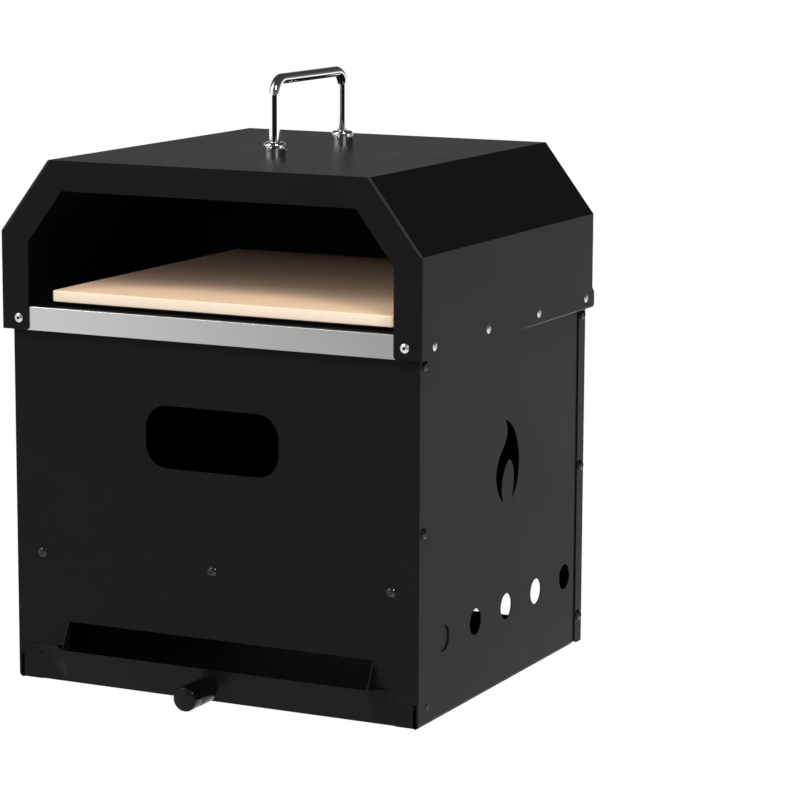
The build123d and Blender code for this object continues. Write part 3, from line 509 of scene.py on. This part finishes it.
chrome = finish("chrome_plate", chrome_plate, Metallic=1.0)
bar_low, bar_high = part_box("handle_bar")
bar_radius = (bar_high.x - bar_low.x) / 2
bend, before_bend, end_gap, leg_steps, grip_steps, round_steps = 0.0128, 0.001, 0.0004, 6, 12, 48
leg_front, leg_rear, bar_top = bar_low.y + bar_radius, bar_high.y - bar_radius, bar_high.z - bar_radius
leg_rise = np.linspace(bar_low.z + end_gap, bar_top - bend - before_bend, leg_steps)
leg_fall = np.linspace(bar_top - bend - before_bend, bar_low.z + end_gap, leg_steps)
grip_run = np.linspace(leg_front + bend + before_bend, leg_rear - bend - before_bend, grip_steps)
line = np.concatenate([
    np.stack([np.full(leg_steps, leg_front), leg_rise], axis=-1),
    arc((leg_front + bend, bar_top - bend), bend, 180, 90, 16),
    np.stack([grip_run, np.full(grip_steps, bar_top)], axis=-1),
    arc((leg_rear - bend, bar_top - bend), bend, 90, 0, 16),
    np.stack([np.full(leg_steps, leg_rear), leg_fall], axis=-1),
])
# The bar's surface: a point of its line, plus the radius times the cosine of an angle along X and its sine along
# the line's normal. Each end closes in one point.
bar_angle = np.linspace(0, 2 * np.pi, round_steps, endpoint=False)
run = np.gradient(line, axis=0)
run /= np.linalg.norm(run, axis=1, keepdims=True)
normal = np.stack([-run[:, 1], run[:, 0]], axis=-1)
rings = np.empty((len(line), round_steps, 3))
rings[:, :, 0] = bar_radius * np.cos(bar_angle)
rings[:, :, 1] = line[:, :1] + bar_radius * np.sin(bar_angle) * normal[:, :1]
rings[:, :, 2] = line[:, 1:] + bar_radius * np.sin(bar_angle) * normal[:, 1:]
ends = np.stack([np.zeros(2), line[[0, -1], 0], np.full(2, bar_low.z)], axis=-1)
first_end, last_end = (np.repeat(end[None, None], round_steps, axis=1) for end in ends)
bar = np.concatenate([first_end, rings, last_end])
placed("handle_tube", closed_mesh("handle_tube", [bar]), "handle_bar", chrome)
for foot in ("handle_front_foot", "handle_rear_foot"):
    broken_edges(foot, chrome, 0.0004)
for group, material in {"handle_set_screws": chrome, "handle_washers": zinc, "handle_screws": zinc}.items():
    broken_edges(group, material, 0.00015)


# Cooking grate: round steel wire, black enamelled, a bent rim with straight bars welded between its front and back.
# It lies loose on the stone shelf, under the stone.
def glaze(places):
    run_off = places.noise(0.01, 3)
    return {
        "Base Color": run_off.mixed((0.012, 0.012, 0.012, 1), (0.028, 0.027, 0.026, 1)),
        "Roughness": 0.35 + run_off * 0.15,
        "Normal": places.noise(0.003, 2).bump(0.00004),
    }


wire_enamel = finish("wire_enamel", glaze, Specular_IOR_Level=0.2)
broken_edges("cooking_grate", wire_enamel, 0.0001, 60)


# Pizza stone: pressed and fired cordierite slab, cream, with fine grain, small pores and rounded edges.
# Its top is painted lighter and redder than its sides: a little toasting by use, and painted warm light.
def fired(places):
    low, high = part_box("pizza_stone")
    grain = places.noise(0.0011, 4, 0.7)
    cloud = places.noise(0.045, 3)
    pores = places.noise(0.0016, 2).between(0.66, 0.74)
    speck = places.noise(0.0024, 3, 0.6).between(0.64, 0.70)
    top = places.part(2).between(high.z - 0.0011, high.z - 0.0003)
    side = (grain * 0.6 + cloud * 0.4).mixed((0.59, 0.475, 0.365, 1), (0.66, 0.54, 0.43, 1))
    # The top's colour is lighter and warmer than the sides': partly toasting, partly painted warm light.
    toasted_and_warm_lit = (grain * 0.4 + cloud * 0.6).mixed((0.75, 0.51, 0.335, 1), (0.84, 0.60, 0.41, 1))
    colour = (speck * 0.5).mixed(top.mixed(side, toasted_and_warm_lit), (0.55, 0.42, 0.30, 1))
    relief = grain * 0.4 - pores
    return {
        "Base Color": colour,
        "Roughness": 0.82 + grain * 0.12,
        "Normal": relief.bump(0.00012),
    }


# The slab's outline is a square with rounded corners, one quarter of it turned four times. Each of its rows is the
# outline drawn in by edge round times one less the cosine of an angle, and by a slight sum of sines, the chipping,
# and lies edge round times one less the sine from a face.
stone_low, stone_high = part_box("pizza_stone")
middle = (stone_low + stone_high) / 2
half = (stone_high.x - stone_low.x) / 2
corner_round, edge_round, chipping, side_steps, corner_steps = 0.0035, 0.0011, 0.00012, 26, 8
quarter = np.concatenate([
    np.stack([np.full(side_steps, half), np.linspace(-half + corner_round, half - corner_round, side_steps)], -1),
    arc((half - corner_round, half - corner_round), corner_round, 8, 82, corner_steps),
])
quarter_out = np.concatenate([
    np.tile([1.0, 0.0], (side_steps, 1)),
    arc((0, 0), 1.0, 8, 82, corner_steps),
])
turns = [np.array([[np.cos(a), np.sin(a)], [-np.sin(a), np.cos(a)]]) for a in np.radians([0, 90, 180, 270])]
outline = np.concatenate([quarter @ a for a in turns])
outward = np.concatenate([quarter_out @ a for a in turns])
count = len(outline)
lap = np.linspace(0, 2 * np.pi, count, endpoint=False)
uneven = chipping * (np.sin(23 * lap + 1.0) + np.sin(41 * lap + 2.6) + np.sin(67 * lap)) / 3
chipped = np.maximum(uneven, 0) * 0.8 + 0.00002
rows = []
for face, bank, first, last in ((stone_low.z, -1, 90, 0), (stone_high.z, 1, 0, 90)):
    for angle in np.radians(np.linspace(first, last, 6)):
        inset = edge_round * (1 - np.cos(angle)) + chipped
        heights = np.full(count, face - bank * edge_round * (1 - np.sin(angle)))
        flat = outline - outward * inset[:, None]
        rows.append(np.column_stack([middle.x + flat[:, 0], middle.y + flat[:, 1], heights]))


def drawn_in(row, share):
    """The row with its distances from the slab's middle times a share: 0 closes the face in one point."""
    across, along = middle.x + (row[:, 0] - middle.x) * share, middle.y + (row[:, 1] - middle.y) * share
    return np.column_stack([across, along, row[:, 2]])


rows = [drawn_in(rows[0], 0), drawn_in(rows[0], 0.6), *rows, drawn_in(rows[-1], 0.6), drawn_in(rows[-1], 0)]
cordierite = finish("cordierite", fired, Specular_IOR_Level=0.25)
placed("stone_slab", closed_mesh("stone_slab", [np.array(rows)]), "pizza_stone", cordierite, 50)
